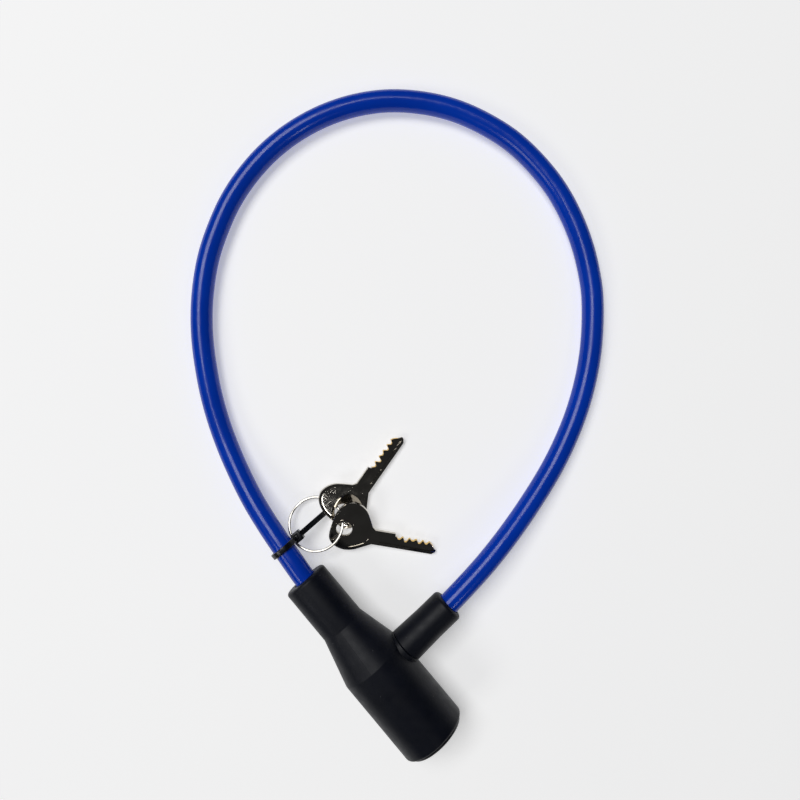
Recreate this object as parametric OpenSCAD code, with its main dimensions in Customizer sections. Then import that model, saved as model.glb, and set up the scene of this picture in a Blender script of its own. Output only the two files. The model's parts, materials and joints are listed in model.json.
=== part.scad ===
/* [Lock body] */
// Diameter of the barrel
barrel_d = 31.5; // [30.5:0.5:34]
// Length of the barrel, from the cone to its rim
barrel_len = 42.5; // [42.5:0.5:48]
// Diameter of the neck that the cable leaves
neck_d = 20.6; // [19.6:0.1:21]
// Length of the neck
neck_len = 26.5; // [26:0.5:30]
// Length of the cone between neck and barrel
cone_len = 21.5; // [21:0.5:24]
// How far the end cap stands out of the barrel
cap_out = 1.5; // [1.5:0.5:4]

/* [Plug] */
// Distance of the plug's axis from the neck's mouth
plug_x = 53; // [52:0.5:54]
// Lean of the plug towards the neck, in degrees
plug_lean = 4.3; // [0:0.1:5]
// Diameter of the plug's sleeve beside the barrel
plug_d = 16.4; // [16:0.1:17]
// Diameter of the sleeve at its mouth
plug_mouth_d = 15.5; // [15:0.1:16]
// Distance of the sleeve's mouth from the lock's axis
plug_reach = 42.7; // [42:0.1:44]
// Diameter of the plug's steel bolt
bolt_d = 10; // [9:0.5:10]

/* [Cable] */
// Diameter over the plastic jacket
cable_d = 10; // [9:0.5:10]
// Diameter of the steel rope inside
core_d = 5; // [4:0.5:5]
// Spread of the loop about its own middle, where it lies on the floor
loop_spread = 1.0185; // [0.99:0.0005:1.03]

/* [Keys and ring] */
// Mean diameter of the split ring
ring_d = 24.8; // [24.4:0.2:25]
// Radial width of the ring's wire
wire_w = 1.3; // [1:0.1:1.3]
// Thickness of one turn of the ring's wire
wire_t = 0.7; // [0.5:0.1:0.7]
// Thickness of the keys
key_t = 1.6; // [1.2:0.1:1.6]
// Diameter of the hole in a key's bow
key_hole_d = 7.3; // [7.2:0.1:7.6]

/* [Locking parts] */
// Diameter of the key's rotor
rotor_d = 14; // [13:0.5:14]
// Travel of the latch into the bolt's groove
latch_travel = 2.5; // [2:0.1:2.6]
// Radial clearance of a turning or sliding fit
fit = 0.05; // [0.03:0.01:0.08]

/* [Hidden] */
$fn = 64;

// Along the lock's axis, +X from the neck's mouth towards the key
floor_z = -barrel_d / 2;
cone_x = neck_len + cone_len;
rim_x = cone_x + barrel_len;
case_r = barrel_d / 2 - 3.05;
nose_r = neck_d / 2 - 1.85;
case_end = rim_x - 3;
cap_r = barrel_d / 2 - 1.55;
jacket_in = 8;

// The plug's bolt and the latch that holds it
bolt_tip = 8.5;
bolt_end = 30;
groove_half = 3.6;
groove_r = 2.8;
latch_r = 3;
latch_x = plug_x + bolt_d / 2 + 0.6;
flange_x = latch_x + 7.4;
cam_x = flange_x + 5;
rotor_x = cam_x + 4.2;
housing_r = rotor_d / 2 + 2.5;
wafer_count = 5;
wafer_pitch = 2.4;
wafer_t = 0.9;
wafer_cuts = [0.6, -0.3, 0.9, 0.1, -0.6];

// Cable route from the neck's bore to the plug, lying on the floor in between
lie_z = floor_z + cable_d / 2;
loop_mid = [-34, 84];
route_free = [
    [-1, 0.3, 0], [-16, 1.4, -1.2], [-29, 2.5, -3.2], [-42, 4.2, -5.6],
    [-55, 6.9, -8.2], [-68, 10.5, -9.9], [-80, 14.8, -10.6], [-91.5, 20, lie_z],
    [-102, 25.8, lie_z], [-112.5, 32.5, lie_z], [-122.5, 40.3, lie_z],
    [-131.5, 49, lie_z], [-140, 59.2, lie_z], [-147, 70.5, lie_z],
    [-153, 83, lie_z], [-157, 96.5, lie_z], [-159, 111, lie_z],
    [-158.5, 125.7, lie_z], [-155.5, 140.3, lie_z], [-150, 154.2, lie_z],
    [-142, 167, lie_z], [-131.5, 178.2, lie_z], [-119.5, 187.3, lie_z],
    [-106, 194, lie_z], [-92, 198.5, lie_z], [-77.5, 200.3, lie_z],
    [-63, 200, lie_z], [-49.5, 197.5, lie_z], [-36.5, 193.3, lie_z],
    [-24.5, 187.6, lie_z], [-13.5, 180.7, lie_z], [5, 164, lie_z],
    [20, 144.5, lie_z], [31.5, 122.5, -9.9], [40, 97.4, -6.5], [46.3, 70, -2.2]
];
route_lain = [for (p = route_free) spread_out(p)];
route = concat([[jacket_in, 0, 0]], route_lain, [plug_point(plug_reach + 1), plug_point(bolt_end)]);
core_route = concat([[22, 0, 0]], route, [plug_point(16)]);
tube_sides = 10;

// The ring hangs in the tie and leans: its low side faces ring_low
ring_c = [-15, 17.6, floor_z + 5.8];
ring_low = 150;
ring_tilt = 14;
tie_x = -16.3;
tie_w = 2.5;
tie_cable = [1.4, -1.2];
tie_wire = [5.2, -8.8];

// A key: hole, yaw, pitch and roll, with the hole's middle outside the wire
key_off = 0.9;
key_len = 50.5;
bow_end = 20.5;
key_hole = [6.5, -1.6];
key_spine = -7.2;

// Point on the plug's axis at distance y from the lock's axis
function plug_point(y) = [plug_x - sin(plug_lean) * y, cos(plug_lean) * y, 0];

// Point of the route moved out from the loop's middle, the more the lower it lies
function spread_out(p) = let (k = (loop_spread - 1) * p[2] / lie_z)
    [p[0] + (p[0] - loop_mid[0]) * k, p[1] + (p[1] - loop_mid[1]) * k, p[2]];

// Point at angle a and radius r in the ring's own leaning plane
function ring_point(a, r) = ring_c
    + r * cos(a - ring_low) * [cos(ring_low) * cos(ring_tilt), sin(ring_low) * cos(ring_tilt), -sin(ring_tilt)]
    + r * sin(a - ring_low) * [-sin(ring_low), cos(ring_low), 0];

// Sweep of a round section along a route that stays near the horizontal
function unit(v) = v / norm(v);
function heading(p, i) = unit(p[min(i + 1, len(p) - 1)] - p[max(i - 1, 0)]);
function ring_of(p, i, r) = let (t = heading(p, i), s = unit(cross([0, 0, 1], t)), u = cross(t, s))
    [for (k = [0:tube_sides - 1]) p[i] + r * (cos(360 * k / tube_sides - 90) * s + sin(360 * k / tube_sides - 90) * u)];
function wall(n, base, flip) = [for (i = [0:n - 2], k = [0:tube_sides - 1])
    let (a = base + i * tube_sides + k, b = base + i * tube_sides + (k + 1) % tube_sides,
         c = b + tube_sides, d = a + tube_sides)
    flip ? [a, b, c, d] : [a, d, c, b]];
function annulus(out, in, flip) = [for (k = [0:tube_sides - 1])
    let (m = (k + 1) % tube_sides) flip ? [out + k, out + m, in + m, in + k] : [out + k, in + k, in + m, out + m]];

// Children are drawn about the lock's axis, with their own z along +X
module along_x(x = 0) {
    translate([x, 0, 0]) rotate([0, 90, 0]) children();
}

// Children are drawn about the plug's axis, with their own z pointing out of the lock
module along_plug(y = 0) {
    translate([plug_x, 0, 0]) rotate([0, 0, plug_lean]) rotate([-90, 0, 0]) translate([0, 0, y]) children();
}

// Solid of revolution about the lock's axis from points [x, radius]
module turned(points) {
    along_x() rotate_extrude() polygon([for (p = points) [p[1], p[0]]]);
}

module cover() {
    seat_from = case_r * 0.9;
    color("#262b3a") difference() {
        union() {
            turned([
                [0, neck_d / 2 - 0.4], [0.4, neck_d / 2], [neck_len, neck_d / 2],
                [cone_x, barrel_d / 2], [rim_x - 1.4, barrel_d / 2], [rim_x - 0.4, barrel_d / 2 - 0.4],
                [rim_x, barrel_d / 2 - 1.2], [rim_x, cap_r + 0.1], [case_end, cap_r + 0.1],
                [case_end, case_r + 0.1], [cone_x - 3, case_r + 0.1], [neck_len, nose_r + 0.1],
                [jacket_in, nose_r + 0.1], [jacket_in, cable_d / 2 + 0.4], [0, cable_d / 2 + 0.4]
            ]);
            // Flat seat round the plug's hole
            difference() {
                along_plug(seat_from) cylinder(d = plug_d, h = barrel_d / 2 + 0.1 - seat_from);
                along_x(cone_x - 6) cylinder(r = case_r + 0.5, h = 30);
            }
        }
        along_plug() cylinder(d = bolt_d + 1, h = barrel_d);
    }
}

module lock_case() {
    color("#9a9c9e") difference() {
        turned([
            [jacket_in, 0], [jacket_in, nose_r], [neck_len, nose_r], [cone_x - 3, case_r],
            [case_end, case_r], [case_end, 0]
        ]);
        along_x(jacket_in - 1) cylinder(r = 5.6, h = 18);
        translate([16, -6, 5.5]) rotate([-90, 0, 0]) cylinder(d = 3, h = 12);
        along_plug(-bolt_tip - 0.5) cylinder(d = bolt_d + 2 * fit, h = 30);
        along_x(plug_x) cylinder(r = latch_r + fit, h = 20);
        along_x(flange_x - 4) cylinder(r = 4.7, h = rotor_x - flange_x + 4.5);
        along_x(rotor_x) cylinder(r = housing_r + fit, h = 30);
        translate([rotor_x + 6, -14, 0]) rotate([-90, 0, 0]) cylinder(d = 2.6, h = 8);
    }
}

module end_cap() {
    color("#1d2029") turned([
        [case_end, housing_r + 0.1], [case_end, cap_r], [rim_x + cap_out - 1.4, cap_r],
        [rim_x + cap_out - 0.5, cap_r - 0.5], [rim_x + cap_out - 0.1, cap_r - 1.6],
        [rim_x + cap_out, cap_r - 4], [rim_x + cap_out, rotor_d / 2 + 1],
        [rim_x + cap_out - 1, rotor_d / 2], [rim_x, rotor_d / 2], [rim_x, housing_r + 0.1]
    ]);
}

module cable_ferrule() {
    color("#b8babd") turned([
        [jacket_in + 0.2, core_d / 2 + 0.1], [jacket_in + 0.2, 5.5], [14.4, 5.5], [14.4, 3.9],
        [17.6, 3.9], [17.6, 5.5], [25, 5.5], [25, core_d / 2 + 0.1]
    ]);
}

module ferrule_pin() {
    color("#c4c6c8") translate([16, -3.6, 5.5]) rotate([-90, 0, 0]) cylinder(d = 2.9, h = 7.2);
}

module cylinder_housing() {
    color("#b49a55") difference() {
        along_x(rotor_x) cylinder(r = housing_r, h = rim_x - rotor_x);
        along_x(rotor_x + 1) cylinder(d = rotor_d + 2 * fit, h = 30);
        along_x(rotor_x - 1) cylinder(r = 3.2, h = 3);
        translate([rotor_x + 2, -3.3, -rotor_d / 2 - 1.2]) cube([wafer_count * wafer_pitch + 1, 6.6, rotor_d + 2.4]);
        translate([rotor_x + 6, -14, 0]) rotate([-90, 0, 0]) cylinder(d = 2.6, h = 5.6);
    }
}

module cylinder_pin() {
    color("#c4c6c8") translate([rotor_x + 6, -case_r + 0.2, 0]) rotate([-90, 0, 0])
        cylinder(d = 2.5, h = case_r - 8.7);
}

// Middle of wafer i along the axis, counted from the back of the rotor
function wafer_x(i) = rotor_x + 1 + i * wafer_pitch;

module key_rotor() {
    color("#c9a75a") difference() {
        union() {
            along_x(rotor_x + 1 + fit) cylinder(d = rotor_d, h = rim_x - rotor_x - 1 - 2 * fit);
            along_x(rim_x - 0.2) cylinder(d = rotor_d - 0.6, h = cap_out - 0.8);
            along_x(cam_x + 1) cylinder(r = 3, h = rotor_x - cam_x + 1);
        }
        translate([rotor_x + 2, -1.15, -4.3]) cube([40, 2.3, 8.6]);
        for (i = [1:wafer_count]) translate([wafer_x(i), 0, 0]) {
            cube([1, 6.6, rotor_d + 1], center = true);
            translate([-0.5, 0, -3]) cube([1, 5.3, 4.5]);
        }
        along_x(rotor_x - 1.4) difference() {
            cylinder(r = 4, h = 0.9);
            cylinder(r = 2.3, h = 0.9);
        }
    }
}

module wafer(i) {
    color("#d8b968") translate([wafer_x(i), 0, 0]) difference() {
        union() {
            intersection() {
                cube([wafer_t, 6.4, rotor_d], center = true);
                along_x(-1) cylinder(r = rotor_d / 2 - 0.05, h = 2);
            }
            translate([-wafer_t / 2, 0, 0.2]) cube([wafer_t, 5, 1.2]);
        }
        translate([0, 0, wafer_cuts[i - 1]]) cube([2, 2.8, 7], center = true);
    }
}

module wafer_springs() {
    color("#d0d2d4") for (i = [1:wafer_count]) translate([wafer_x(i), 4.3, -2.9]) difference() {
        cylinder(d = 0.9, h = 3);
        translate([0, 0, -1]) cylinder(d = 0.5, h = 5);
    }
}

module rotor_clip() {
    color("#8f9194") along_x(rotor_x - 1.3) difference() {
        cylinder(r = 4.2, h = 0.7);
        translate([0, 0, -1]) cylinder(r = 2.4, h = 3);
        translate([0, -1.5, -1]) cube([6, 3, 3]);
    }
}

// Face cam: its steps rise by latch_travel over a quarter turn
module drive_cam() {
    steps = 6;
    color("#8f9194") difference() {
        union() {
            along_x(cam_x) cylinder(r = 4.2, h = 2);
            for (i = [1:steps]) rotate([-15 * i - 7.5, 0, 0])
                translate([cam_x - latch_travel * (15 * i - 14) / 90, -0.5, 2.8])
                    cube([latch_travel, 1, 1.2]);
        }
        along_x(cam_x + 1) cylinder(r = 3.05, h = 2);
    }
}

module latch() {
    color("#a7a9ac") {
        along_x(latch_x) cylinder(r1 = latch_r - 0.5, r2 = latch_r, h = 0.5);
        along_x(latch_x + 0.5) cylinder(r = latch_r, h = flange_x - latch_x - 0.5);
        along_x(flange_x) cylinder(r = 4.5, h = 2);
        translate([flange_x + 2, -0.4, 3]) cube([2.9, 0.8, 1]);
    }
}

module latch_spring() {
    color("#d0d2d4") along_x(flange_x - 3.9) difference() {
        cylinder(r = 4.4, h = 3.8);
        translate([0, 0, -1]) cylinder(r = 3.4, h = 6);
    }
}

module plug_bolt() {
    color("#b8babd") along_plug() rotate_extrude() polygon([
        [0, -bolt_tip], [bolt_d / 2 - 1.8, -bolt_tip], [bolt_d / 2, -bolt_tip + 2.2],
        [bolt_d / 2, -groove_half], [groove_r, -groove_half], [groove_r, groove_half],
        [bolt_d / 2, groove_half], [bolt_d / 2, bolt_end],
        [core_d / 2 + 0.1, bolt_end], [core_d / 2 + 0.1, 14], [0, 14]
    ]);
}

module plug_sleeve() {
    base = barrel_d / 2 + 0.3;
    color("#262b3a") along_plug() rotate_extrude() polygon(concat(
        [[bolt_d / 2 + 0.02, base], [plug_d / 2 - 0.4, base], [plug_d / 2, base + 0.4]],
        [for (a = [0:15:90]) [plug_mouth_d / 2 - 1.8 + 1.8 * cos(a), plug_reach - 1.8 + 1.8 * sin(a)]],
        [[cable_d / 2 + 0.15, plug_reach], [cable_d / 2 + 0.15, bolt_end], [bolt_d / 2 + 0.02, bolt_end]]
    ));
}

module cable_jacket() {
    n = len(route);
    rings = [for (r = [cable_d / 2, core_d / 2 + 0.15], i = [0:n - 1]) each ring_of(route, i, r)];
    inner = n * tube_sides;
    last = (n - 1) * tube_sides;
    color("#0a3fa6") polyhedron(rings, concat(
        wall(n, 0, false), wall(n, inner, true),
        annulus(0, inner, true), annulus(last, inner + last, false)
    ), convexity = 10);
}

module wire_core() {
    n = len(core_route);
    rings = [for (i = [0:n - 1]) each ring_of(core_route, i, core_d / 2)];
    color("#9fa3a8") polyhedron(rings, concat(
        wall(n, 0, false),
        [[for (k = [0:tube_sides - 1]) k]],
        [[for (k = [0:tube_sides - 1]) n * tube_sides - 1 - k]]
    ), convexity = 10);
}

// Loop of the tie seen along the lock's axis: round the cable and the ring's wire
module tie_loop(grow) {
    hull() {
        translate(tie_cable) circle(r = cable_d / 2 + 0.35 + grow, $fn = 32);
        translate(tie_wire) circle(r = 1.5 + grow, $fn = 32);
    }
}

module zip_tie() {
    color("#14161c") difference() {
        union() {
            translate([tie_x, 0, 0]) rotate([90, 0, 90]) linear_extrude(tie_w, center = true) tie_loop(1.1);
            translate([tie_x - 2.4, 6.6, -6.9]) cube([4.8, 4.3, 4.2]);
            translate([tie_x, 10, -5.2]) rotate([-24, 0, 0]) translate([0, 9.3, 0]) cube([tie_w, 19.2, 1], center = true);
        }
        translate([tie_x, 0, 0]) rotate([90, 0, 90]) linear_extrude(10, center = true) tie_loop(0);
    }
}

module split_ring() {
    color("#c9cbce") translate(ring_c) rotate(a = ring_tilt, v = [-sin(ring_low), cos(ring_low), 0])
        rotate_extrude() translate([ring_d / 2, 0]) square([wire_w, 2 * wire_t], center = true);
}

// Bow of a key, seen flat: rounder and fuller on the side of the cuts
module bow_shape() {
    hull() {
        translate([9.2, 6.1]) circle(r = 6.3, $fn = 32);
        translate([7.2, -5.4]) circle(r = 6.9, $fn = 32);
        translate([6.5, 0]) circle(r = 6.5, $fn = 32);
        translate([bow_end - 4, -3.4]) circle(r = 4.6, $fn = 32);
    }
}

// Blade of a key, seen flat: plain back, shoulder, cuts and point
module blade_shape() {
    polygon(concat(
        [[bow_end - 4, key_spine], [bow_end - 4, 0.4], [30.5, 0.4], [30.5, -0.9]],
        [for (i = [0:4]) each [[32 + 3.2 * i, -1 - 0.35 * (i % 3)], [33.6 + 3.2 * i, -2.6 + 0.4 * (i % 2)]]],
        [[key_len - 2, -2.6], [key_len, -5], [key_len - 1.6, key_spine]]
    ));
}

// A key hung on the ring at angle a of the ring
module key_at(a, yaw, pitch, roll) {
    color("#b9bcc0") translate(ring_point(a, ring_d / 2 + key_off)) rotate([0, 0, yaw]) rotate([0, pitch, 0])
        rotate([roll, 0, 0]) translate([-key_hole.x, -key_hole.y, 0]) difference() {
            union() {
                linear_extrude(key_t, center = true) bow_shape();
                linear_extrude(key_t, center = true) blade_shape();
            }
            translate(key_hole) cylinder(d = key_hole_d, h = 4, center = true);
            translate([24, -5.4, key_t / 2 - 0.45]) cube([key_len, 1.1, 2]);
        }
}

module key_1() {
    key_at(77, 105.2, 1.5, 21);
}

module key_2() {
    key_at(42, 39.7, 5, 19);
}

cover();
lock_case();
end_cap();
cable_ferrule();
ferrule_pin();
cylinder_housing();
cylinder_pin();
key_rotor();
for (i = [1:wafer_count]) wafer(i);
wafer_springs();
rotor_clip();
drive_cam();
latch();
latch_spring();
plug_bolt();
plug_sleeve();
cable_jacket();
wire_core();
zip_tie();
split_ring();
key_1();
key_2();
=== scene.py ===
import json
import math

import bmesh
import bpy
import numpy as np
from mathutils import Matrix, Vector


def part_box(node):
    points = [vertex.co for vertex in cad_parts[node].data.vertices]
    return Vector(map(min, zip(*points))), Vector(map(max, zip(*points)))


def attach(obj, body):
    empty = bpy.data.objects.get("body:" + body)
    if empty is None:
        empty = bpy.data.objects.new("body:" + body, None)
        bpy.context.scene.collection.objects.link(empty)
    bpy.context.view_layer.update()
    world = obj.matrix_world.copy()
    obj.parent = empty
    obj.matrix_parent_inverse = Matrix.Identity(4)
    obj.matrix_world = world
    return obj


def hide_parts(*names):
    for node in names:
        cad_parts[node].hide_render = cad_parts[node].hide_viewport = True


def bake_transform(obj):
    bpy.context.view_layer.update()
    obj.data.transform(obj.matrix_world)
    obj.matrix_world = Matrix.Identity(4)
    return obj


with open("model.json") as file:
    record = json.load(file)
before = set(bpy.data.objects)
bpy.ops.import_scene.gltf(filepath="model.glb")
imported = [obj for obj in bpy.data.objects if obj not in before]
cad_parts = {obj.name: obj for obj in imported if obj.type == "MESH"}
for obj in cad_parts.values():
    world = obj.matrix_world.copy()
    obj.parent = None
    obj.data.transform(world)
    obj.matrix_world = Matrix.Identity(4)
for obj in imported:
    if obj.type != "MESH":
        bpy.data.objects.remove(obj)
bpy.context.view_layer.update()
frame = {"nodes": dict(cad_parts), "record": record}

MM = 0.001
scene = bpy.context.scene

# ---------------------------------------------------------------- places from the frame
cover_lo, cover_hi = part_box("cover")
cap_lo, cap_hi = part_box("end_cap")
sleeve_lo, sleeve_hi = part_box("plug_sleeve")
tie_lo, tie_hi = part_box("zip_tie")
latch_spring_lo, latch_spring_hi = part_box("latch_spring")
FLOOR_Z = cover_lo.z
BARREL_R = cover_hi.z / MM
RIM_X = cover_hi.x / MM
CAP_X = cap_hi.x / MM
CAP_R = cap_hi.z / MM
CASE_END = cap_lo.x / MM
NECK_R = 10.3
SLEEVE_R = 8.2
MOUTH_R = 7.75
NECK_LEN = 26.5
CONE_X = 48.0
CABLE_R = 5.0
CORE_R = 2.5
PLUG_X = 53.0
PLUG_LEAN = math.radians(4.3)
SLEEVE_BASE = BARREL_R + 0.3
SLEEVE_REACH = 42.7
BOLT_END = 30

# Frames whose local z runs along the lock's axis and along the plug's axis
LOCK_AXIS = Matrix(((0, 0, 1, 0), (0, 1, 0, 0), (-1, 0, 0, 0), (0, 0, 0, 1)))
PLUG_AXIS = (
    Matrix.Translation((PLUG_X * MM, 0, 0))
    @ Matrix.Rotation(PLUG_LEAN, 4, "Z")
    @ Matrix.Rotation(-math.pi / 2, 4, "X")
)


# ---------------------------------------------------------------- camera
CAMERA_HEIGHT = 325.75 * MM
VIEW_CENTRE = (-34.15 * MM, 84.05 * MM)
VIEW_TURN = math.radians(50.2)
VIEW_WIDTH = 358.0 * MM
VIEW_DISTANCE = 310 * MM
camera = bpy.data.objects.new("camera", bpy.data.cameras.new("camera"))
scene.collection.objects.link(camera)
camera.data.sensor_width = 36
camera.data.lens = 36 * VIEW_DISTANCE / VIEW_WIDTH
camera.data.clip_start = 0.01
camera.data.clip_end = 20
camera.location = (*VIEW_CENTRE, FLOOR_Z + CAMERA_HEIGHT)
camera.rotation_euler = (0, 0, VIEW_TURN)
scene.camera = camera


# ---------------------------------------------------------------- mesh helpers
def face_outwards(bm):
    """Winds every closed part of a mesh the same way, with its normals outwards."""
    bmesh.ops.recalc_face_normals(bm, faces=bm.faces)
    if bm.calc_volume(signed=True) < 0:
        bmesh.ops.reverse_faces(bm, faces=bm.faces)


def piece(name, verts, faces, smooth=30, body=None, slot=None, material=None):
    mesh = bpy.data.meshes.new(name)
    mesh.from_pydata([tuple(v) for v in verts], [], [tuple(f) for f in faces])
    mesh.validate()
    bm = bmesh.new()
    bm.from_mesh(mesh)
    face_outwards(bm)
    bm.to_mesh(mesh)
    bm.free()
    made = bpy.data.objects.new(name, mesh)
    scene.collection.objects.link(made)
    soften(made, smooth)
    if body:
        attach(made, body)
    if material:
        mesh.materials.append(material)
    return made


def soften(obj, angle):
    obj.data.shade_smooth()
    obj.data.set_sharp_from_angle(angle=math.radians(angle))


def boolean(obj, cutter, operation="DIFFERENCE", smooth=30):
    """Applies a boolean and removes the cutter."""
    mod = obj.modifiers.new("cut", "BOOLEAN")
    mod.operation = operation
    mod.solver = "MANIFOLD"
    mod.object = cutter
    bpy.context.view_layer.update()
    evaluated = obj.evaluated_get(bpy.context.evaluated_depsgraph_get())
    result = bpy.data.meshes.new_from_object(evaluated)
    obj.modifiers.clear()
    old, obj.data = obj.data, result
    bpy.data.meshes.remove(old)
    bpy.data.objects.remove(cutter)
    soften(obj, smooth)
    return obj


def filleted(corners, steps=6):
    """Closed profile [(a, r, fillet)] in mm with each corner rounded by its fillet."""
    out, n = [], len(corners)
    for i, (a, r, f) in enumerate(corners):
        p = Vector((a, r))
        if not f:
            out.append(p)
            continue
        u = (Vector(corners[i - 1][:2]) - p).normalized()
        w = (Vector(corners[(i + 1) % n][:2]) - p).normalized()
        half = math.acos(max(-1, min(1, u.dot(w)))) / 2
        reach = f / math.tan(half)
        centre = p + (u + w).normalized() * f / math.sin(half)
        s, e = p + u * reach - centre, p + w * reach - centre
        turn = s.angle_signed(e)
        for k in range(steps + 1):
            q = s.copy()
            q.rotate(Matrix.Rotation(-turn * k / steps, 2))
            out.append(centre + q)
    return out


def lathe(name, corners, axes, count=128, rise=None, extra=(), steps=6, **kw):
    """Solid of revolution from a filleted profile. rise(angle, a, r) lifts the surface."""
    prof = filleted(corners, steps)
    even = [2 * math.pi * k / count for k in range(count)]
    angles = sorted({round(t, 6) for t in [*even, *extra]})
    verts, m = [], len(prof)
    for t in angles:
        for a, r in prof:
            rr = r + (rise(t, a, r) if rise else 0)
            verts.append(axes @ (Vector((rr * math.cos(t), rr * math.sin(t), a)) * MM))
    n = len(angles)
    faces = [
        (i * m + k, i * m + (k + 1) % m, (i + 1) % n * m + (k + 1) % m, (i + 1) % n * m + k)
        for i in range(n) for k in range(m)
    ]
    return piece(name, verts, faces, **kw)


def frames_along(path, closed=False, up=(0, 0, 1)):
    """Tangent, side and up at each point of a path, turned as little as possible."""
    p = np.asarray(path, float)
    if closed:
        t = np.roll(p, -1, 0) - np.roll(p, 1, 0)
    else:
        t = np.gradient(p, axis=0)
    t /= np.linalg.norm(t, axis=1)[:, None]
    u = np.array(up, float)
    out = []
    for k in range(len(p)):
        u = u - t[k] * (u @ t[k])
        u /= np.linalg.norm(u)
        out.append((t[k], np.cross(t[k], u), u))
    return out


def sweep(path, section, closed=False, up=(0, 0, 1), keep_up=False):
    """Verts and faces of section [(side, up)] carried along path.

    section may be a function of (index, share of the way).
    """
    fr = frames_along(path, closed, up)
    n = len(path)
    verts = []
    for k in range(n):
        t, s, u = fr[k]
        if keep_up:
            u = np.array(up, float) - t * (np.array(up, float) @ t)
            u /= np.linalg.norm(u)
            s = np.cross(t, u)
        sec = section(k, k / (n - 1)) if callable(section) else section
        verts += [np.asarray(path[k]) + a * s + b * u for a, b in sec]
    m = len(verts) // n
    spans = n if closed else n - 1
    faces = [
        (i * m + k, i * m + (k + 1) % m, (i + 1) % n * m + (k + 1) % m, (i + 1) % n * m + k)
        for i in range(spans) for k in range(m)
    ]
    if not closed:
        faces += [tuple(range(m))[::-1], tuple(range((n - 1) * m, n * m))]
    return verts, faces


def circle(r, n=24):
    return [(r * math.cos(2 * math.pi * k / n), r * math.sin(2 * math.pi * k / n)) for k in range(n)]


def rounded_box(w, h, r, n=4):
    """Rectangle section w by h with rounded corners."""
    pts = []
    x, y = w / 2 - r, h / 2 - r
    for cx, cy, a0 in ((x, y, 0), (-x, y, 90), (-x, -y, 180), (x, -y, 270)):
        for k in range(n + 1):
            a = math.radians(a0 + 90 * k / n)
            pts.append((cx + r * math.cos(a), cy + r * math.sin(a)))
    return pts


def between(a, b, t_a, t_b, t):
    """Point at t on the straight line that has a at t_a and b at t_b."""
    return (t_b - t) / (t_b - t_a) * a + (t - t_a) / (t_b - t_a) * b


def smooth_route(points, spacing):
    """Points a fixed distance apart on a centripetal spline through the given ones."""
    p = np.asarray(points, float)
    p = np.vstack([2 * p[0] - p[1], p, 2 * p[-1] - p[-2]])
    fine = []
    for i in range(1, len(p) - 2):
        q = p[i - 1 : i + 3]
        steps = np.sqrt(np.linalg.norm(np.diff(q, axis=0), axis=1))
        t = np.concatenate([[0], np.cumsum(steps)])
        for x in np.linspace(t[1], t[2], 24, endpoint=False):
            a = [between(q[j], q[j + 1], t[j], t[j + 1], x) for j in range(3)]
            b = [between(a[j], a[j + 1], t[j], t[j + 2], x) for j in range(2)]
            fine.append(between(b[0], b[1], t[1], t[2], x))
    fine.append(p[-2])
    fine = np.array(fine)
    d = np.concatenate([[0], np.cumsum(np.linalg.norm(np.diff(fine, axis=0), axis=1))])
    at = np.linspace(0, d[-1], int(round(d[-1] / spacing)) + 1)
    return np.stack([np.interp(at, d, fine[:, k]) for k in range(3)], 1), d[-1]


# ---------------------------------------------------------------- material helpers
class Finish:
    """A Principled material whose colour, roughness and bump come from procedural nodes."""

    def __init__(self, name, **sockets):
        self.m = bpy.data.materials.new(name)
        self.m.use_nodes = True
        self.t = self.m.node_tree
        self.n, self.l = self.t.nodes, self.t.links
        self.b = next(x for x in self.n if x.type == "BSDF_PRINCIPLED")
        self.co = self.n.new("ShaderNodeTexCoord").outputs["Object"]
        for k, v in sockets.items():
            self.b.inputs[k.replace("_", " ")].default_value = v
        self.normal = None

    def stretched(self, scale, turn=(0, 0, 0)):
        g = self.n.new("ShaderNodeMapping")
        g.inputs["Scale"].default_value = scale
        g.inputs["Rotation"].default_value = turn
        self.l.new(self.co, g.inputs["Vector"])
        return g.outputs[0]

    def noise(self, scale, detail=3, rough=0.5, co=None):
        g = self.n.new("ShaderNodeTexNoise")
        g.inputs["Scale"].default_value = scale
        g.inputs["Detail"].default_value = detail
        g.inputs["Roughness"].default_value = rough
        self.l.new(co or self.co, g.inputs["Vector"])
        return g.outputs["Fac"]

    def specks(self, scale, size):
        """1 inside small scattered dots, 0 elsewhere."""
        g = self.n.new("ShaderNodeTexVoronoi")
        g.inputs["Scale"].default_value = scale
        self.l.new(self.co, g.inputs["Vector"])
        return self.range(g.outputs["Distance"], size, size * 0.5, 0, 1)

    def range(self, x, a, b, lo, hi):
        g = self.n.new("ShaderNodeMapRange")
        for i, v in enumerate((a, b, lo, hi), 1):
            g.inputs[i].default_value = v
        self.l.new(x, g.inputs[0])
        return g.outputs[0]

    def times(self, x, y):
        g = self.n.new("ShaderNodeMath")
        g.operation = "MULTIPLY"
        self.l.new(x, g.inputs[0])
        self.l.new(y, g.inputs[1])
        return g.outputs[0]

    def mix(self, fac, a, b):
        g = self.n.new("ShaderNodeMix")
        g.data_type = "RGBA"
        self.l.new(fac, g.inputs[0])
        for socket, v in ((g.inputs[6], a), (g.inputs[7], b)):
            if isinstance(v, tuple):
                socket.default_value = (*v, 1)
            else:
                self.l.new(v, socket)
        return g.outputs[2]

    def colour(self, x):
        self.l.new(x, self.b.inputs["Base Color"])

    def roughness(self, x):
        self.l.new(x, self.b.inputs["Roughness"])

    def bump(self, height, distance, strength=1.0):
        g = self.n.new("ShaderNodeBump")
        g.inputs["Distance"].default_value = distance
        g.inputs["Strength"].default_value = strength
        self.l.new(height, g.inputs["Height"])
        if self.normal:
            self.l.new(self.normal, g.inputs["Normal"])
        self.normal = g.outputs[0]
        self.l.new(self.normal, self.b.inputs["Normal"])


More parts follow.
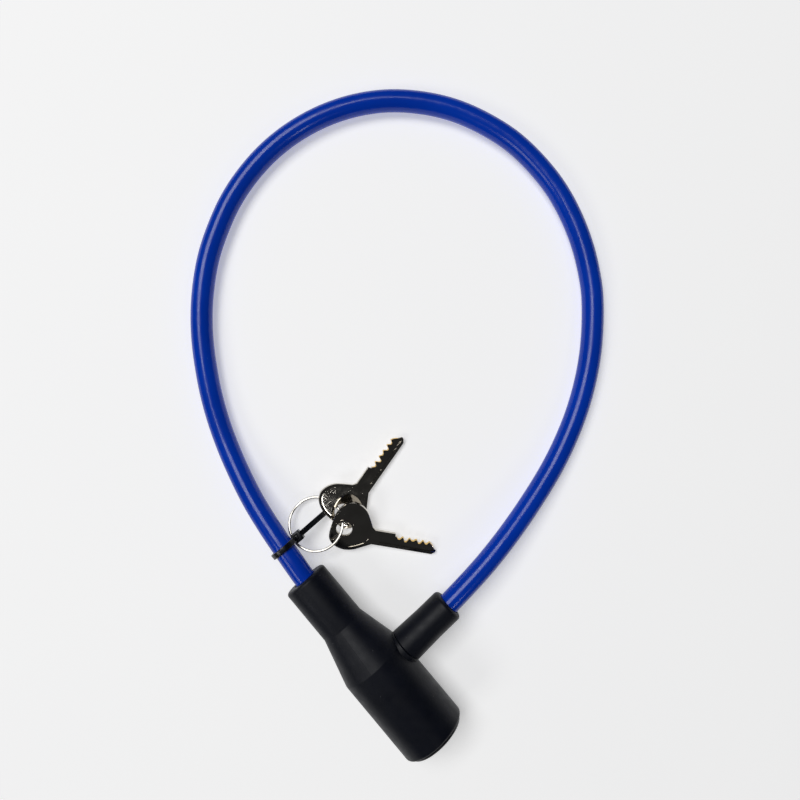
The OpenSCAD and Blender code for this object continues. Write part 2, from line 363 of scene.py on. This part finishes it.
def moulded(name, dark, light, rough, grain, dust, **sockets):
    """Moulded plastic: fine spark-eroded grain, cloudy gloss, faint scuffs and dust."""
    f = Finish(name, **sockets)
    cloud = f.noise(90, 4)
    scuff = f.range(f.noise(1, 2, co=f.stretched((700, 90, 160), (0.3, 0.5, 0.9))), 0.6, 0.72, 0, 1)
    body = f.mix(f.range(cloud, 0.3, 0.7, 0, 1), dark, light)
    dusty = f.times(f.specks(420, 0.07), f.range(f.noise(160, 1), 0.56, 0.6, 0, dust))
    f.colour(f.mix(dusty, body, (0.3, 0.31, 0.33)))
    f.roughness(f.range(f.noise(260, 5), 0.3, 0.7, rough - 0.05, rough + 0.06))
    f.bump(f.noise(2600, 3, 0.6), 0.00008, grain)
    f.bump(scuff, 0.00001, 0.4)
    return f.m


def metal(name, a, b, rough, brush=(90, 2400, 2400), line=0.25, wear=0.0, turn=(0, 0, 0)):
    """Plated or machined metal: tool lines along one direction, tarnish and fine scratches."""
    f = Finish(name, Metallic=1.0)
    tool = f.noise(1, 3, co=f.stretched(brush, turn))
    scored = f.noise(1, 1, co=f.stretched((3000, 60, 900), (0.2, 0.7, 0.5)))
    scratch = f.range(scored, 0.66, 0.7, 0, 1)
    f.colour(f.mix(f.range(f.noise(180, 4), 0.35, 0.7, 0, 1), a, b))
    f.roughness(f.range(f.noise(320, 4), 0.3, 0.75, rough, rough + 0.12 + wear))
    f.bump(tool, 0.00002, line)
    f.bump(scratch, 0.000012, 0.5)
    return f.m


def cable_finish():
    """Glossy clear-blue jacket: slight colour drift, orange peel and long pulling marks."""
    f = Finish("jacket_pvc", Specular_IOR_Level=0.35, IOR=1.48)
    drift = f.noise(35, 3)
    deep = f.mix(f.range(drift, 0.3, 0.7, 0, 1), (0.0003, 0.04, 0.46), (0.0004, 0.05, 0.54))
    dusty = f.times(f.specks(260, 0.05), f.range(f.noise(110, 1), 0.6, 0.64, 0, 0.35))
    f.colour(f.mix(dusty, deep, (0.2, 0.26, 0.5)))
    f.roughness(f.range(f.noise(240, 3), 0.3, 0.7, 0.15, 0.24))
    f.bump(f.noise(230, 2), 0.00012, 0.22)
    f.bump(f.noise(1500, 3), 0.00002, 0.2)
    return f.m


def rope_finish():
    f = Finish("rope_steel", Metallic=1.0)
    f.colour(f.mix(f.range(f.noise(900, 4), 0.4, 0.7, 0, 1), (0.5, 0.51, 0.52), (0.3, 0.29, 0.27)))
    f.roughness(f.range(f.noise(700, 3), 0.3, 0.7, 0.3, 0.5))
    f.bump(f.noise(5200, 2), 0.00003, 0.4)
    return f.m


COVER = moulded(
    "cover_plastic", (0.0016, 0.0028, 0.0072), (0.0026, 0.004, 0.0098), 0.47, 0.55, 0.5,
    Specular_IOR_Level=0.26,
)
CAP = moulded(
    "cap_plastic", (0.0014, 0.0022, 0.0048), (0.0024, 0.0032, 0.006), 0.33, 0.25, 0.3,
    Specular_IOR_Level=0.45,
)
TIE = moulded(
    "tie_nylon", (0.002, 0.003, 0.0055), (0.004, 0.005, 0.008), 0.28, 0.16, 0.3,
    Specular_IOR_Level=0.5,
)
JACKET = cable_finish()
ROPE = rope_finish()
ZINC = metal("zinc_cast", (0.42, 0.42, 0.43), (0.3, 0.3, 0.31), 0.42, (420, 420, 420), 0.5, 0.1)
STEEL = metal("steel_turned", (0.52, 0.52, 0.53), (0.4, 0.4, 0.41), 0.2, (2600, 60, 60), 0.3)
BRASS = metal("brass_machined", (0.62, 0.42, 0.14), (0.46, 0.3, 0.1), 0.24, (2200, 80, 80), 0.3)
SPRING = metal("spring_steel", (0.48, 0.48, 0.5), (0.36, 0.36, 0.38), 0.22)
PLATE = metal(
    "nickel_plate", (0.6, 0.57, 0.51), (0.5, 0.47, 0.42), 0.035, (60, 1800, 1800), 0.02,
    -0.07,
)
RING = metal("ring_nickel", (0.3, 0.29, 0.27), (0.2, 0.19, 0.175), 0.1, (60, 1800, 1800), 0.1)
CUT = metal("key_cut_brass", (0.8, 0.56, 0.2), (0.7, 0.47, 0.15), 0.25, (2400, 2400, 60), 0.4)

BY_SLOT = {
    "zinc": ZINC, "steel": STEEL, "brass": BRASS, "spring_steel": SPRING,
    "cover_plastic": COVER, "cap_plastic": CAP,
}
slot_of = {s["node"]: s["material_slot"] for s in frame["record"]["subparts"]}
for node, obj in frame["nodes"].items():
    if slot_of[node] in BY_SLOT:
        obj.data.materials.clear()
        obj.data.materials.append(BY_SLOT[slot_of[node]])


# ---------------------------------------------------------------- the cable
def plug_point(y):
    return [PLUG_X - math.sin(PLUG_LEAN) * y, math.cos(PLUG_LEAN) * y, 0]


LIE_Z = FLOOR_Z / MM + CABLE_R
JACKET_IN = 8.0
LOOP_SPREAD = 1.0185
LOOP_MID = (-34, 84)


def spread_out(p):
    """Point of the route moved out from the loop's middle, the more the lower it lies."""
    k = (LOOP_SPREAD - 1) * p[2] / LIE_Z
    return [p[0] + (p[0] - LOOP_MID[0]) * k, p[1] + (p[1] - LOOP_MID[1]) * k, p[2]]


CABLE_ROUTE = (
    [[JACKET_IN, 0, 0]]
    + [spread_out(p) for p in (
        [-1, 0.3, 0], [-16, 1.4, -1.2], [-29, 2.5, -3.2], [-42, 4.2, -5.6],
        [-55, 6.9, -8.2], [-68, 10.5, -9.9], [-80, 14.8, -10.6], [-91.5, 20, LIE_Z],
        [-102, 25.8, LIE_Z], [-112.5, 32.5, LIE_Z], [-122.5, 40.3, LIE_Z],
        [-131.5, 49, LIE_Z], [-140, 59.2, LIE_Z], [-147, 70.5, LIE_Z],
        [-153, 83, LIE_Z], [-157, 96.5, LIE_Z], [-159, 111, LIE_Z],
        [-158.5, 125.7, LIE_Z], [-155.5, 140.3, LIE_Z], [-150, 154.2, LIE_Z],
        [-142, 167, LIE_Z], [-131.5, 178.2, LIE_Z], [-119.5, 187.3, LIE_Z],
        [-106, 194, LIE_Z], [-92, 198.5, LIE_Z], [-77.5, 200.3, LIE_Z],
        [-63, 200, LIE_Z], [-49.5, 197.5, LIE_Z], [-36.5, 193.3, LIE_Z],
        [-24.5, 187.6, LIE_Z], [-13.5, 180.7, LIE_Z], [5, 164, LIE_Z],
        [20, 144.5, LIE_Z], [31.5, 122.5, -9.9], [40, 97.4, -6.5], [46.3, 70, -2.2],
    )]
    + [plug_point(SLEEVE_REACH + 1), plug_point(BOLT_END)]
)

ROUTE_STEP = 1.5 * MM
route, route_len = smooth_route(np.array(CABLE_ROUTE) * MM, ROUTE_STEP)
tube, tube_faces = sweep(route, circle(CABLE_R * MM, 32), keep_up=True)
cable = piece("cable_jacket_tube", tube, tube_faces, smooth=50, slot="jacket", material=JACKET)
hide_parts("cable_jacket")
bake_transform(cable)

# The rope inside: six strands laid round a middle, drawn as one twisted fluted bar
STRANDS = 6
LAY = 30 * MM
STRAND_DEPTH = 0.42


def rope_section(k, share):
    turn = 2 * math.pi * k * ROUTE_STEP / LAY
    out = []
    for j in range(48):
        a = 2 * math.pi * j / 48
        r = (CORE_R - 0.02 - STRAND_DEPTH * (1 - abs(math.cos(STRANDS * a / 2)))) * MM
        out.append((r * math.cos(a + turn), r * math.sin(a + turn)))
    return out


rope, rope_faces = sweep(route, rope_section, keep_up=True)
core = piece("rope_core", rope, rope_faces, smooth=60, slot="wire_rope", material=ROPE)
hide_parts("wire_core")
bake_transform(core)
for label, path, body in (
    ("rope_end_lock", [(22 * MM, 0, 0), (15 * MM, 0, 0), (JACKET_IN * MM, 0, 0)], "lock"),
    ("rope_end_plug", [np.array(plug_point(y)) * MM for y in (30, 23, 16)], "plug"),
):
    end, end_faces = sweep(path, rope_section, keep_up=True)
    piece(label, end, end_faces, smooth=60, body=body, slot="wire_rope", material=ROPE)


# ---------------------------------------------------------------- the lock's cover and cap
PARTING_WIDE = 0.016
PARTING_HIGH = 0.04


def parting_line(t, a, r):
    """A low ridge where the mould's halves met, above and below."""
    if not (0.8 < a < RIM_X - 1.5) or r < NECK_R - 0.2:
        return 0
    near = min(abs(t - p) for p in (0, math.pi, 2 * math.pi))
    return PARTING_HIGH * max(0, 1 - near / PARTING_WIDE)


parting_angles = [
    (p + d * PARTING_WIDE) % (2 * math.pi)
    for p in (0, math.pi)
    for d in (-1.6, -1, -1 / 3, 0, 1 / 3, 1, 1.6)
]
cover = lathe(
    "cover_shell",
    [
        (0, NECK_R - 0.05, 1.5), (NECK_LEN, NECK_R, 0.5), (CONE_X, BARREL_R - 0.03, 1.4),
        (RIM_X - 0.1, BARREL_R, 1.3), (RIM_X - 0.1, CAP_R + 0.1, 0.2), (CASE_END, CAP_R + 0.1, 0),
        (CASE_END, BARREL_R - 2.95, 0), (CONE_X - 3, BARREL_R - 2.95, 0), (NECK_LEN, NECK_R - 1.75, 0),
        (JACKET_IN, NECK_R - 1.75, 0), (JACKET_IN, CABLE_R + 0.4, 0), (0, CABLE_R + 0.4, 0.5),
    ],
    LOCK_AXIS, 160, parting_line, parting_angles,
    body="lock", slot="cover_plastic", material=COVER,
)
seat = lathe(
    "plug_seat",
    [(9.5, 5.2, 0), (9.5, SLEEVE_R, 0), (BARREL_R + 0.1, SLEEVE_R, 0.3), (BARREL_R + 0.1, 5.2, 0)],
    PLUG_AXIS, 96,
)
inside = lathe(
    "seat_trimmer",
    [
        (CONE_X - 6, 0.01, 0), (CONE_X - 6, BARREL_R - 2.5, 0),
        (CONE_X + 24, BARREL_R - 2.5, 0), (CONE_X + 24, 0.01, 0),
    ],
    LOCK_AXIS, 160,
)
boolean(seat, inside)
boolean(cover, seat, "UNION")
hole = lathe(
    "hole_cutter",
    [(0, 0.01, 0), (0, 5.5, 0), (BARREL_R - 0.9, 5.5, 0), (BARREL_R + 1, 6.6, 0), (BARREL_R + 1, 0.01, 0)],
    PLUG_AXIS, 96,
)
boolean(cover, hole)
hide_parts("cover")

cap = lathe(
    "cap_turned",
    [
        (CASE_END, 9.6, 0), (CASE_END, CAP_R - 0.05, 0), (CAP_X, CAP_R - 0.05, 1.1), (CAP_X, 8.0, 0.2),
        (CAP_X - 0.8, 7.0, 0.15), (RIM_X, 7.0, 0), (RIM_X, 9.6, 0),
    ],
    LOCK_AXIS, 128, body="lock", slot="cap_plastic", material=CAP,
)
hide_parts("end_cap")

# ---------------------------------------------------------------- the plug's sleeve
sleeve = lathe(
    "sleeve_moulded",
    [
        (SLEEVE_BASE, 5.05, 0), (SLEEVE_BASE, SLEEVE_R, 0.35), (SLEEVE_BASE + 14, MOUTH_R, 12),
        (SLEEVE_REACH, MOUTH_R, 1.8), (SLEEVE_REACH, CABLE_R + 0.15, 0.45),
        (BOLT_END, CABLE_R + 0.15, 0), (BOLT_END, 5.05, 0),
    ],
    PLUG_AXIS, 128, body="plug", slot="cover_plastic", material=COVER,
)
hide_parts("plug_sleeve")

# ---------------------------------------------------------------- springs
def coil(axis_start, axis_end, r, wire, turns, steps=20):
    """Path of a spring with flat ground ends along a straight axis."""
    a, b = np.array(axis_start, float), np.array(axis_end, float)
    d = (b - a) / np.linalg.norm(b - a)
    x = np.cross(d, (0, 1, 0) if abs(d[1]) < 0.9 else (1, 0, 0))
    x /= np.linalg.norm(x)
    y = np.cross(d, x)
    out = []
    n = int(turns * steps)
    for k in range(n + 1):
        t = k / n
        s = min(1, max(0, (t * turns - 0.6) / (turns - 1.2)))
        w = 2 * math.pi * turns * t
        along = wire / 2 + s * (np.linalg.norm(b - a) - wire)
        out.append(a + d * along + r * (math.cos(w) * x + math.sin(w) * y))
    return out


SPRING_WIRE = 0.36 * MM
sv, sf = sweep(
    coil((latch_spring_lo.x, 0, 0), (latch_spring_hi.x, 0, 0), 3.9 * MM, SPRING_WIRE, 4.2, 40),
    circle(SPRING_WIRE / 2, 8), up=(1, 0, 0), keep_up=True,
)
latch_spring = piece("latch_coil", sv, sf, smooth=60, slot="spring_steel", material=SPRING)
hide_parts("latch_spring")
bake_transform(latch_spring)

wafer_names = [f"wafer_{i}" for i in range(1, 6)]
springs_lo, springs_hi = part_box("wafer_springs")
wafer_verts, wafer_faces = [], []
for name in wafer_names:
    lo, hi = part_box(name)
    mid = (lo.x + hi.x) / 2
    y = (springs_lo.y + springs_hi.y) / 2
    v, f = sweep(
        coil((mid, y, springs_lo.z), (mid, y, springs_hi.z), 0.35 * MM, 0.16 * MM, 7, 14),
        circle(0.08 * MM, 6), up=(0, 0, 1), keep_up=True,
    )
    wafer_faces += [tuple(i + len(wafer_verts) for i in face) for face in f]
    wafer_verts += v
wafer_springs = piece(
    "wafer_coils", wafer_verts, wafer_faces, smooth=60,
    body="rotor", slot="spring_steel", material=SPRING,
)
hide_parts("wafer_springs")

# ---------------------------------------------------------------- the zip tie
TIE_X = (tie_lo.x + tie_hi.x) / 2 / MM
TIE_ON_CABLE = (np.array([1.4, -1.2]), 5.35)
TIE_ON_WIRE = (np.array([5.2, -8.8]), 1.5)
TIE_W, TIE_T = 2.5, 1.1


def tie_loop():
    """Middle of the band round the cable and the ring's wire, in the plane across the cable."""
    pts = []
    for k in range(360):
        n = np.array([math.cos(math.radians(k)), math.sin(math.radians(k))])
        c, r = max((TIE_ON_CABLE, TIE_ON_WIRE), key=lambda cr: cr[0] @ n + cr[1])
        pts.append(c + (r + TIE_T / 2) * n)
    p = np.array(pts + pts[:1])
    d = np.concatenate([[0], np.cumsum(np.linalg.norm(np.diff(p, axis=0), axis=1))])
    at = np.linspace(0, d[-1], 120, endpoint=False)
    return [np.array([TIE_X, np.interp(x, d, p[:, 0]), np.interp(x, d, p[:, 1])]) * MM for x in at]


band = rounded_box(TIE_T * MM, TIE_W * MM, 0.28 * MM)
bv, bf = sweep(tie_loop(), band, closed=True, up=(1, 0, 0), keep_up=True)
tie = piece("tie_band", bv, bf, smooth=40, body="lock", slot="tie_nylon", material=TIE)


def tie_tail():
    """Strap with side rails and cross teeth between them, tapering to its tip."""
    length, pitch = 19.2, 0.8
    rows = []
    steps = int(length / pitch * 4)
    for k in range(steps + 1):
        x = length * k / steps
        taper = 1 if x < length - 4 else 1 - 0.45 * (x - length + 4) / 4
        w = TIE_W / 2 * taper
        tooth = 0.22 if k % 4 in (1, 2) and x < length - 5 else 0
        rows.append([
            (-w, -0.42), (-w, 0.4), (-w + 0.12, 0.5), (-w + 0.38, 0.5), (-w + 0.42, 0.2 + tooth),
            (w - 0.42, 0.2 + tooth), (w - 0.38, 0.5), (w - 0.12, 0.5), (w, 0.4), (w, -0.42),
            (w - 0.1, -0.5), (-w + 0.1, -0.5),
        ])
    m = len(rows[0])
    start = Vector((TIE_X, 10, -5.2)) * MM
    place = Matrix.Translation(start) @ Matrix.Rotation(math.radians(-24), 4, "X")
    verts = [
        place @ (Vector((a, length * k / steps - 0.3, b)) * MM)
        for k, row in enumerate(rows) for a, b in row
    ]
    faces = [
        (i * m + k, i * m + (k + 1) % m, (i + 1) * m + (k + 1) % m, (i + 1) * m + k)
        for i in range(steps) for k in range(m)
    ]
    faces += [tuple(range(m))[::-1], tuple(range(steps * m, steps * m + m))]
    return verts, faces


tv, tf = tie_tail()
piece("tie_tail", tv, tf, smooth=25, body="lock", slot="tie_nylon", material=TIE)


def box_piece(name, lo, hi, bevel, **kw):
    """Block with rounded edges between two corners in mm."""
    bm = bmesh.new()
    bmesh.ops.create_cube(bm, size=1)
    for v in bm.verts:
        v.co = Vector([(lo[i] + hi[i]) / 2 + v.co[i] * (hi[i] - lo[i]) for i in range(3)]) * MM
    bmesh.ops.bevel(bm, geom=bm.edges[:], offset=bevel * MM, segments=4, profile=0.5, affect="EDGES")
    verts = [v.co.copy() for v in bm.verts]
    faces = [[v.index for v in f.verts] for f in bm.faces]
    bm.free()
    return piece(name, verts, faces, smooth=50, **kw)


HEAD_LO, HEAD_HI = (tie_lo.x / MM, 6.6, -6.9), (tie_hi.x / MM, 10.9, -2.7)
head = box_piece("tie_head", HEAD_LO, HEAD_HI, 0.5, body="lock", slot="tie_nylon", material=TIE)
window = box_piece("window_cutter", (TIE_X - 1.35, 7.3, -3.9), (TIE_X + 1.35, 9.4, -1), 0.2)
boolean(head, window, smooth=40)
box_piece(
    "tie_pawl", (TIE_X - 1.0, 7.5, -5.2), (TIE_X + 1.0, 9.0, -3.35), 0.25,
    body="lock", slot="tie_nylon", material=TIE,
)
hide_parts("zip_tie")

# ---------------------------------------------------------------- the split ring
RING_C = Vector((-15, 17.6, FLOOR_Z / MM + 5.8))
RING_LOW, RING_TILT = math.radians(150), math.radians(14)
RING_R = 12.4
RING_W, WIRE_T = 1.15, 0.7
level = Vector((math.cos(RING_LOW), math.sin(RING_LOW), 0))
low_dir = level * math.cos(RING_TILT) - Vector((0, 0, math.sin(RING_TILT)))
along_dir = Vector((-math.sin(RING_LOW), math.cos(RING_LOW), 0))
ring_up = low_dir.cross(along_dir)
RING_SEAM = math.radians(200)


def ring_point(a, r, lift=0.0):
    """Point at angle a and radius r in the ring's own leaning plane, in mm."""
    a = a - RING_LOW
    return RING_C + low_dir * (r * math.cos(a)) + along_dir * (r * math.sin(a)) + ring_up * lift


def ring_path():
    """Two turns that step from the lower to the upper one beside the ends' gap."""
    out, gap = [], 22
    for k in range(gap, 720 - gap + 1, 3):
        s = min(1, max(0, (k - 360 + gap) / (2 * gap)))
        lift = (s * s * (3 - 2 * s) - 0.5) * WIRE_T
        out.append(np.array(ring_point(RING_SEAM + math.radians(k), RING_R, lift)) * MM)
    return out


wire = rounded_box(RING_W * MM, (WIRE_T - 0.03) * MM, 0.26 * MM)
rv, rf = sweep(ring_path(), wire, up=tuple(ring_up), keep_up=True)
ring = piece("ring_two_turns", rv, rf, smooth=40, body="ring", slot="ring_plate", material=RING)
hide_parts("split_ring")

# ---------------------------------------------------------------- the keys
KEY_T = 1.6
KEY_HOLE = Vector((6.5, -1.6))
HOLE_R = 3.65
KEY_OFF = 0.9
BOW = [
    (0.6, 1.0), (0.1, -4.2), (0.4, -7.4), (2.0, -9.9),
    (4.9, -11.7), (8.5, -12.3), (12.4, -11.5), (16.5, -9.3),
]
BOW_BACK = [
    (19.4, 1.6), (17.6, 5.3), (15.5, 8.9), (12.7, 11.3), (9.4, 12.4), (6.7, 11.8), (3.9, 9.7), (1.7, 5.8),
]
SPINE, STEM_TOP, CUT_TOP = -7.2, 0.3, -1.0
CUT_X = [31.0, 34.2, 37.4, 40.6, 43.8]
CUT_DEPTH = [1.4, 2.1, 1.1, 1.8, 1.5]


def spline_2d(points, per=6):
    p = [Vector(q) for q in points]
    p = [p[0] * 2 - p[1], *p, p[-1] * 2 - p[-2]]
    out = []
    for i in range(1, len(p) - 2):
        for k in range(per):
            t = k / per
            out.append(0.5 * (2 * p[i] + (p[i + 1] - p[i - 1]) * t
                              + (2 * p[i - 1] - 5 * p[i] + 4 * p[i + 1] - p[i + 2]) * t * t
                              + (3 * p[i] - p[i - 1] - 3 * p[i + 1] + p[i + 2]) * t ** 3))
    out.append(p[-2])
    return out


def key_outline():
    """Anticlockwise from the bow's end: low side, spine, tip, cuts, shoulder, high side."""
    low = spline_2d(BOW + [(20.2, SPINE)])
    cuts = []
    for x, d in reversed(list(zip(CUT_X, CUT_DEPTH))):
        cuts += [(x + 2.7, CUT_TOP - 0.1), (x + 1.75, CUT_TOP - d)]
        cuts += [(x + 0.95, CUT_TOP - d), (x + 0.1, CUT_TOP - 0.25)]
    point = [(48.6, SPINE), (50.2, SPINE + 1.3), (50.5, SPINE + 2.1)]
    point += [(49.0, CUT_TOP - 2.6), (47.7, CUT_TOP - 1.0)]
    blade = point + cuts + [(30.4, CUT_TOP), (30.3, STEM_TOP), (20.9, STEM_TOP)]
    back = spline_2d(BOW_BACK + [BOW[0]])[:-1]
    return low + [Vector(q) for q in blade] + back


def flat_plate(name, loops, z0, z1, bevel=0.0):
    """Plate between two heights from closed 2-D loops in mm: the outline, then its holes."""
    curve = bpy.data.curves.new(name, "CURVE")
    curve.dimensions = "2D"
    curve.fill_mode = "BOTH"
    curve.extrude = (z1 - z0) / 2 * MM - bevel * MM
    curve.bevel_depth = bevel * MM
    curve.bevel_resolution = 2
    curve.offset = -bevel * MM
    for loop in loops:
        s = curve.splines.new("POLY")
        s.points.add(len(loop) - 1)
        for q, v in zip(s.points, loop):
            q.co = (v[0] * MM, v[1] * MM, 0, 1)
        s.use_cyclic_u = True
    obj = bpy.data.objects.new(name, curve)
    scene.collection.objects.link(obj)
    bpy.context.view_layer.update()
    evaluated = obj.evaluated_get(bpy.context.evaluated_depsgraph_get())
    mesh = bpy.data.meshes.new_from_object(evaluated)
    bpy.data.objects.remove(obj)
    bm = bmesh.new()
    bm.from_mesh(mesh)
    bmesh.ops.remove_doubles(bm, verts=bm.verts, dist=1e-6)
    bmesh.ops.translate(bm, verts=bm.verts, vec=(0, 0, (z0 + z1) / 2 * MM))
    face_outwards(bm)
    bm.to_mesh(mesh)
    bm.free()
    made = bpy.data.objects.new(name, mesh)
    scene.collection.objects.link(made)
    return made


def round_loop(centre, r, n=64):
    return [centre + Vector(q) for q in circle(r, n)]


def inset(points, d):
    """Loop moved inwards by d mm along its corner normals (anticlockwise loop)."""
    out, n = [], len(points)
    for i in range(n):
        a = points[i] - points[i - 1]
        b = points[(i + 1) % n] - points[i]
        if a.length < 1e-6 or b.length < 1e-6:
            continue
        t = (a.normalized() + b.normalized()).normalized()
        out.append(points[i] + Vector((-t.y, t.x)) * d)
    return out


def key(name, node, body, angle, yaw, pitch, roll):
    plate = flat_plate(name, [key_outline(), round_loop(KEY_HOLE, HOLE_R)], -KEY_T / 2, KEY_T / 2, 0.16)
    bow_loop = spline_2d(BOW + [(18.6, -7.6), (20.4, -3.6)] + BOW_BACK + [BOW[0]])[:-1]
    panel = inset(bow_loop, 1.7)
    for side in (1, -1):
        z = sorted((side * (KEY_T / 2 - 0.14), side * (KEY_T / 2 + 1)))
        boolean(plate, flat_plate("panel_cutter", [panel, round_loop(KEY_HOLE, HOLE_R + 1.0)], *z))
        groove = sorted((side * (KEY_T / 2 - 0.42), side * (KEY_T / 2 + 1)))
        y = -4.5 if side > 0 else -3.4
        line = [Vector(q) for q in ((25.5, y), (52, y), (52, y - 1.15), (23.2, y - 1.15))]
        boolean(plate, flat_plate("groove_cutter", [line], *groove))
    place = (
        Matrix.Translation(ring_point(math.radians(angle), RING_R + KEY_OFF) * MM)
        @ Matrix.Rotation(math.radians(yaw), 4, "Z")
        @ Matrix.Rotation(math.radians(pitch), 4, "Y")
        @ Matrix.Rotation(math.radians(roll), 4, "X")
        @ Matrix.Translation((-KEY_HOLE.x * MM, -KEY_HOLE.y * MM, 0))
    )
    plate.data.materials.clear()
    plate.data.materials.append(PLATE)
    plate.data.materials.append(CUT)
    for face in plate.data.polygons:
        c = face.center / MM
        raw = c.x > CUT_X[0] and c.y > CUT_TOP - 2.6 and abs(face.normal.z) < 0.5 and face.normal.y > 0.1
        face.material_index = 1 if raw else 0
    plate.data.transform(place)
    soften(plate, 25)
    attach(plate, body)
    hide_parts(node)
    return plate


key("key_one", "key_1", "key_1", 77, 105.2, 1.5, 21)
key("key_two", "key_2", "key_2", 42, 39.7, 5, 19)

# ---------------------------------------------------------------- floor and light
scene.view_settings.view_transform = "Standard"
scene.view_settings.look = "None"
floor_mesh = bpy.data.meshes.new("floor")
FLOOR_HALF = 6
corners = [(x * FLOOR_HALF, y * FLOOR_HALF, FLOOR_Z) for x, y in ((-1, -1), (1, -1), (1, 1), (-1, 1))]
floor_mesh.from_pydata(corners, [], [(0, 1, 2, 3)])
floor = bpy.data.objects.new("floor", floor_mesh)
scene.collection.objects.link(floor)
paper = Finish("paper_sweep", Roughness=0.9, Specular_IOR_Level=0.1)
tone = paper.range(paper.noise(6, 2), 0.3, 0.7, 0, 1)
paper.colour(paper.mix(tone, (0.86, 0.86, 0.865), (0.87, 0.87, 0.87)))
paper.b.inputs["Emission Color"].default_value = (1, 1, 1, 1)
paper.b.inputs["Emission Strength"].default_value = 0.39
floor_mesh.materials.append(paper.m)


def softbox(name, direction, distance, size, power, colour=(1, 1, 1)):
    light = bpy.data.lights.new(name, "AREA")
    light.shape = "RECTANGLE"
    light.size, light.size_y = size
    light.energy = power
    light.color = colour
    obj = bpy.data.objects.new(name, light)
    scene.collection.objects.link(obj)
    d = Vector(direction).normalized()
    obj.location = Vector((*VIEW_CENTRE, FLOOR_Z)) + d * distance
    obj.rotation_euler = (-d).to_track_quat("-Z", "Y").to_euler()
    return obj


softbox("left_light", (-0.42, -0.05, 0.9), 3.0, (1.5, 1.5), 46)
softbox("near_light", (-0.05, -0.72, 0.68), 3.0, (0.9, 0.9), 10)
softbox("strip_light", (0.699, -0.014, 0.715), 3.02, (0.07, 0.7), 2.5)
world = bpy.data.worlds.new("studio")
world.use_nodes = True
world.node_tree.nodes["Background"].inputs[0].default_value = (0.94, 0.96, 1, 1)
world.node_tree.nodes["Background"].inputs[1].default_value = 0.03
scene.world = world
